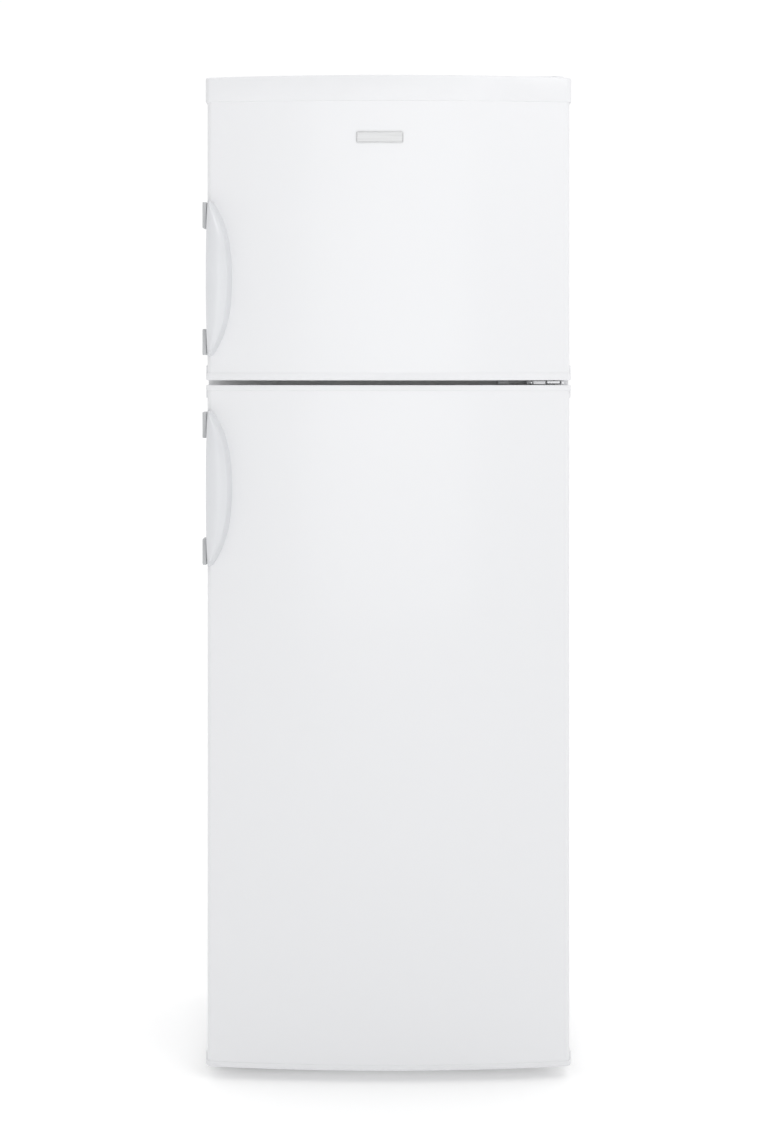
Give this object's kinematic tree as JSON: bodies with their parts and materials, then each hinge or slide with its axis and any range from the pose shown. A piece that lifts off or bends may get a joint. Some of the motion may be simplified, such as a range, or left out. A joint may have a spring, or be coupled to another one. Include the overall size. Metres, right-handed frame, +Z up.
{
  "type": "top freezer refrigerator",
  "caption": "Free-standing white fridge with a freezer door above a tall fridge door, bowed fronts, D-shaped grips on the left edge and right-hand hinges.",
  "frame": {"origin": "on the floor under the middle of the refrigerator", "axes": "+Z up, the doors face -Y, +X to the right seen from the front, where the hinges are"},
  "size_m": [0.5956, 0.6085, 1.6293],
  "materials": {
    "white_enamel": "smooth satin enamel on sheet steel",
    "white_cap_plastic": "moulded, fine gloss",
    "pearl_handle_plastic": "satin gloss, slightly greyer than the doors",
    "grey_trim_plastic": "fine matte texture",
    "liner_plastic": "vacuum-formed, soft gloss",
    "gasket_vinyl": "soft matte vinyl",
    "foam": "open-cell polyurethane",
    "galvanised_steel": "dull zinc",
    "zinc_screws": "bright zinc",
    "black_enamel": "semi-gloss stoving enamel",
    "black_rubber": "matte",
    "black_plastic": "matte",
    "copper_pipe": "drawn copper",
    "aluminium_fins": "mill finish",
    "clear_styrene": "clear moulded polystyrene",
    "frosted_lens": "frosted",
    "shelf_glass": "toughened float glass, green edge",
    "bulb_glass": "clear bulb",
    "nylon": "matte nylon",
    "ice_blue_plastic": "flexible satin plastic",
    "white_plastic": "matte moulded",
    "brushed_badge": "brushed, blank"
  },
  "bodies": {
    "cabinet": {"side_panel_left": "white_enamel", "side_panel_right": "white_enamel", "top_cover": "white_cap_plastic", "rear_panel": "galvanised_steel", "machine_room_shield": "galvanised_steel", "insulation_foam": "foam", "freezer_liner": "liner_plastic", "fridge_liner": "liner_plastic", "front_rails": "white_enamel", "base_tray": "galvanised_steel", "top_hinge": "white_enamel", "middle_hinge": "white_enamel", "bottom_hinge": "white_enamel", "hinge_screws": "zinc_screws", "top_hinge_cover": "white_cap_plastic", "compressor": "black_enamel", "rubber_grommets": "black_rubber", "start_relay_box": "black_plastic", "condenser_coil": "black_enamel", "condenser_wires": "black_enamel", "drip_pan": "black_plastic", "refrigerant_pipes": "copper_pipe", "evaporator": "aluminium_fins", "evaporator_cover": "white_plastic", "fan_motor": "black_plastic", "freezer_shelf": "white_plastic", "air_duct_cover": "white_plastic", "control_housing": "white_plastic", "lamp_bulb": "bulb_glass", "lamp_lens": "frosted_lens", "glass_shelves": "shelf_glass", "shelf_trims": "white_plastic", "door_switch_body": "white_plastic"},
    "fan": {"fan_impeller": "black_plastic"},
    "thermostat_knob": {"thermostat_knob": "grey_trim_plastic"},
    "door_switch_button": {"door_switch_button": "white_plastic"},
    "crisper_left": {"crisper_drawer_left": "clear_styrene"},
    "crisper_right": {"crisper_drawer_right": "clear_styrene"},
    "foot_left": {"front_foot_left": "black_plastic"},
    "foot_right": {"front_foot_right": "black_plastic"},
    "roller_left": {"rear_roller_left": "nylon"},
    "roller_right": {"rear_roller_right": "nylon"},
    "ice_tray": {"ice_tray": "ice_blue_plastic"},
    "freezer_door": {"freezer_door_panel": "white_enamel", "freezer_door_end_caps": "white_cap_plastic", "freezer_door_foam": "foam", "freezer_door_liner": "liner_plastic", "freezer_door_gasket": "gasket_vinyl", "freezer_door_handle": "pearl_handle_plastic", "freezer_handle_end_caps": "grey_trim_plastic", "freezer_door_bins": "clear_styrene", "name_plate": "brushed_badge"},
    "fridge_door": {"fridge_door_panel": "white_enamel", "fridge_door_end_caps": "white_cap_plastic", "fridge_door_foam": "foam", "fridge_door_liner": "liner_plastic", "fridge_door_gasket": "gasket_vinyl", "fridge_door_handle": "pearl_handle_plastic", "fridge_handle_end_caps": "grey_trim_plastic", "fridge_door_bins": "clear_styrene"},
    "dairy_lid": {"dairy_lid": "clear_styrene"}
  },
  "joints": [
    {"name": "freezer_door_hinge", "type": "hinge", "parent": "cabinet", "child": "freezer_door", "pos_m": [0.272, -0.257, 1.376], "axis": [0, 0, 1], "range_deg": [0, 125]},
    {"name": "fridge_door_hinge", "type": "hinge", "parent": "cabinet", "child": "fridge_door", "pos_m": [0.272, -0.257, 0.572], "axis": [0, 0, 1], "range_deg": [0, 125]},
    {"name": "dairy_lid_hinge", "type": "hinge", "parent": "fridge_door", "child": "dairy_lid", "pos_m": [0, -0.222, 1.001], "axis": [1, 0, 0], "range_deg": [0, 55]},
    {"name": "crisper_left_slide", "type": "slide", "parent": "cabinet", "child": "crisper_left", "axis": [0, -1, 0], "range_m": [0, 0.045]},
    {"name": "crisper_right_slide", "type": "slide", "parent": "cabinet", "child": "crisper_right", "axis": [0, -1, 0], "range_m": [0, 0.045]},
    {"name": "ice_tray_twist", "type": "hinge", "parent": "cabinet", "child": "ice_tray", "pos_m": [-0.16, 0, 1.436], "axis": [0, 1, 0], "range_deg": [0, 115]},
    {"name": "thermostat_turn", "type": "hinge", "parent": "cabinet", "child": "thermostat_knob", "pos_m": [0.07, -0.06, 1.068], "axis": [0, 1, 0], "range_deg": [0, 270]},
    {"name": "door_switch_press", "type": "slide", "parent": "cabinet", "child": "door_switch_button", "axis": [0, 1, 0], "range_m": [0, 0.005], "stiffness_N_per_m": 250},
    {"name": "fan_spin", "type": "hinge", "parent": "cabinet", "child": "fan", "pos_m": [0, 0.15, 1.475], "axis": [0, 1, 0], "continuous": true},
    {"name": "foot_left_turn", "type": "hinge", "parent": "cabinet", "child": "foot_left", "pos_m": [-0.222, -0.19, 0.01], "axis": [0, 0, 1], "continuous": true},
    {"name": "foot_right_turn", "type": "hinge", "parent": "cabinet", "child": "foot_right", "pos_m": [0.222, -0.19, 0.01], "axis": [0, 0, 1], "continuous": true},
    {"name": "roller_left_spin", "type": "hinge", "parent": "cabinet", "child": "roller_left", "pos_m": [-0.24, 0.232, 0.012], "axis": [1, 0, 0], "continuous": true},
    {"name": "roller_right_spin", "type": "hinge", "parent": "cabinet", "child": "roller_right", "pos_m": [0.24, 0.232, 0.012], "axis": [1, 0, 0], "continuous": true}
  ]
}
